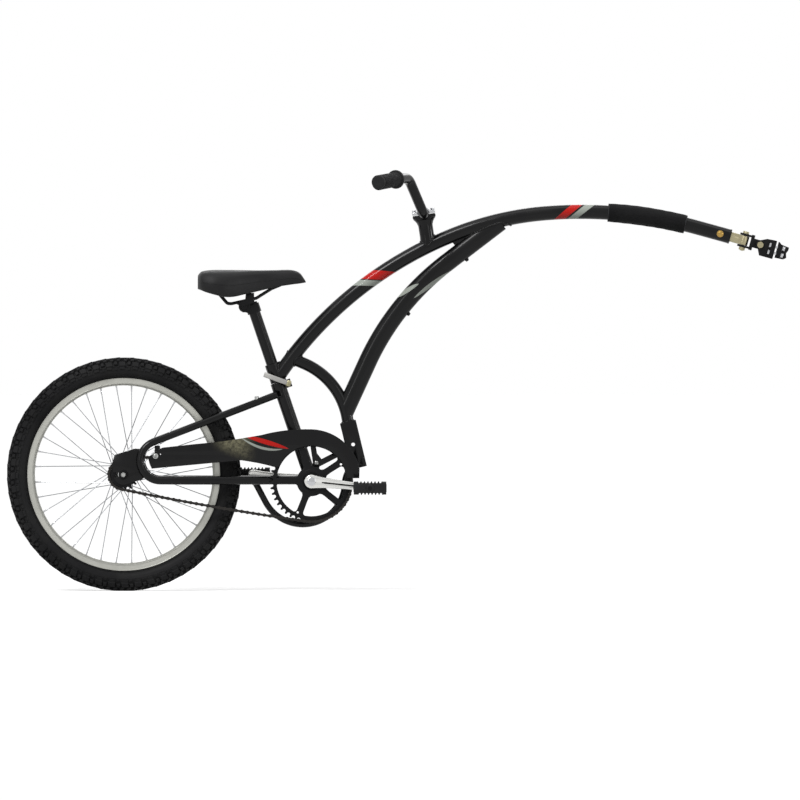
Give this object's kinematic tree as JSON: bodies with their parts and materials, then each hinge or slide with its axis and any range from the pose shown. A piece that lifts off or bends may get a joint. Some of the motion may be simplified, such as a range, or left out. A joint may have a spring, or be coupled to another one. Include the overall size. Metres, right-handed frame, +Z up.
{
  "type": "trailer bike",
  "caption": "Folding one-wheeled child's trailer bike with boom, handlebar, saddle, pedal drive and a swivelling hitch that clamps to the leading bicycle's seat post.",
  "frame": {"origin": "centre of the hitch clamp's bore, where the leading bicycle's seat post passes", "axes": "+X forward along the part, from its own wheel to the hitch; +Y to the part's left, along its axles; +Z up with the part standing ready to be towed"},
  "size_m": [1.724, 0.5166, 0.9285],
  "materials": {
    "painted_frame": "gloss black paint",
    "black_steel": "satin black steel",
    "black_plastic": "matt black moulding",
    "bar_rubber": "matt black rubber",
    "pad_foam": "matt black foam",
    "saddle_vinyl": "matt black vinyl",
    "tyre_rubber": "matt black rubber",
    "bright_metal": "brushed silver",
    "chrome": "polished",
    "yellow_zinc": "yellow zinc plate",
    "brass": "satin",
    "chain_steel": "oiled dark steel"
  },
  "bodies": {
    "front_frame": {"boom_tube": "painted_frame", "lower_tube": "painted_frame", "brace_tube": "painted_frame", "seat_sleeve": "painted_frame", "fold_channel": "painted_frame", "bar_post": "painted_frame", "bar_clamp_cap": "chrome", "boom_pad": "pad_foam", "hitch_tongue": "yellow_zinc", "tongue_bolt": "brass"},
    "hitch_yoke": {"hitch_yoke": "black_steel", "kingpin": "yellow_zinc"},
    "hitch_clamp": {"tow_clamp_body": "black_steel", "tow_clamp_cap": "black_steel", "pitch_pin": "yellow_zinc", "tow_bolt_right_upper": "chrome", "tow_bolt_right_lower": "chrome", "tow_bolt_left_upper": "chrome", "tow_bolt_left_lower": "chrome"},
    "handlebar": {"handlebar": "painted_frame", "grip_right": "bar_rubber", "grip_left": "bar_rubber"},
    "seat": {"seatpost": "painted_frame", "saddle": "saddle_vinyl", "saddle_base": "black_plastic", "saddle_rails": "black_steel", "saddle_clamp": "black_steel"},
    "rear_frame": {"seat_tube": "painted_frame", "seat_collar": "painted_frame", "quick_release_skewer": "bright_metal", "bottom_bracket_shell": "painted_frame", "bottom_bracket_cartridge": "black_steel", "stay_right": "painted_frame", "stay_left": "painted_frame", "dropout_right": "painted_frame", "dropout_left": "painted_frame", "loop_tube": "painted_frame", "fold_bolt": "black_steel", "chainguard": "painted_frame", "guard_front_bracket": "painted_frame", "guard_rear_bracket": "painted_frame", "guard_screw": "bright_metal", "chain": "chain_steel", "rear_axle": "bright_metal", "axle_nut_right": "black_steel", "axle_nut_left": "black_steel"},
    "seat_lever": {"quick_release_lever": "bright_metal"},
    "rear_wheel": {"tyre": "tyre_rubber", "rim": "bright_metal", "hub": "bright_metal"},
    "rear_cog": {"rear_cog": "black_steel"},
    "crank": {"chainring": "black_steel", "crank_spindle": "black_steel", "crank_right": "bright_metal", "crank_left": "bright_metal", "pedal_axle_right": "black_steel", "pedal_axle_left": "black_steel"},
    "pedal_right": {"pedal_right": "black_plastic"},
    "pedal_left": {"pedal_left": "black_plastic"}
  },
  "joints": [
    {"name": "hitch_yaw", "type": "hinge", "parent": "front_frame", "child": "hitch_yoke", "pos_m": [-0.07064, 0, 0.01821], "axis": [0.2656, 0, 0.9641], "range_deg": [-80, 80]},
    {"name": "hitch_pitch", "type": "hinge", "parent": "hitch_yoke", "child": "hitch_clamp", "pos_m": [-0.03471, 0, 0.00956], "axis": [0, 1, 0], "range_deg": [-25, 25]},
    {"name": "bar_tilt", "type": "hinge", "parent": "front_frame", "child": "handlebar", "pos_m": [-0.77778, 0, 0.07682], "axis": [0, 1, 0], "range_deg": [-30, 30]},
    {"name": "seat_height", "type": "slide", "parent": "front_frame", "child": "seat", "axis": [-0.3206, 0, 0.9472], "range_m": [-0.06, 0]},
    {"name": "frame_fold", "type": "hinge", "parent": "front_frame", "child": "rear_frame", "pos_m": [-0.93358, 0, -0.46838], "axis": [0, -1, 0], "range_deg": [0, 150]},
    {"name": "lever_flip", "type": "hinge", "parent": "rear_frame", "child": "seat_lever", "pos_m": [-1.0771, -0.0183, -0.29599], "axis": [0.342, 0, 0.9397], "range_deg": [0, 150]},
    {"name": "wheel_spin", "type": "hinge", "parent": "rear_frame", "child": "rear_wheel", "pos_m": [-1.44058, 0, -0.49738], "axis": [0, 1, 0], "continuous": true},
    {"name": "crank_spin", "type": "hinge", "parent": "rear_frame", "child": "crank", "pos_m": [-1.0256, 0, -0.51208], "axis": [0, 1, 0], "continuous": true, "deforming": ["chain"]},
    {"name": "cog_spin", "type": "hinge", "parent": "rear_frame", "child": "rear_cog", "pos_m": [-1.44058, 0, -0.49738], "axis": [0, 1, 0], "continuous": true},
    {"name": "pedal_right_spin", "type": "hinge", "parent": "crank", "child": "pedal_right", "pos_m": [-0.89631, -0.121, -0.52567], "axis": [0, 1, 0], "continuous": true},
    {"name": "pedal_left_spin", "type": "hinge", "parent": "crank", "child": "pedal_left", "pos_m": [-1.15489, 0.121, -0.49849], "axis": [0, 1, 0], "continuous": true}
  ],
  "couplings": [
    {"joint": "cog_spin", "follows": "crank_spin", "ratio": 2.75}
  ]
}
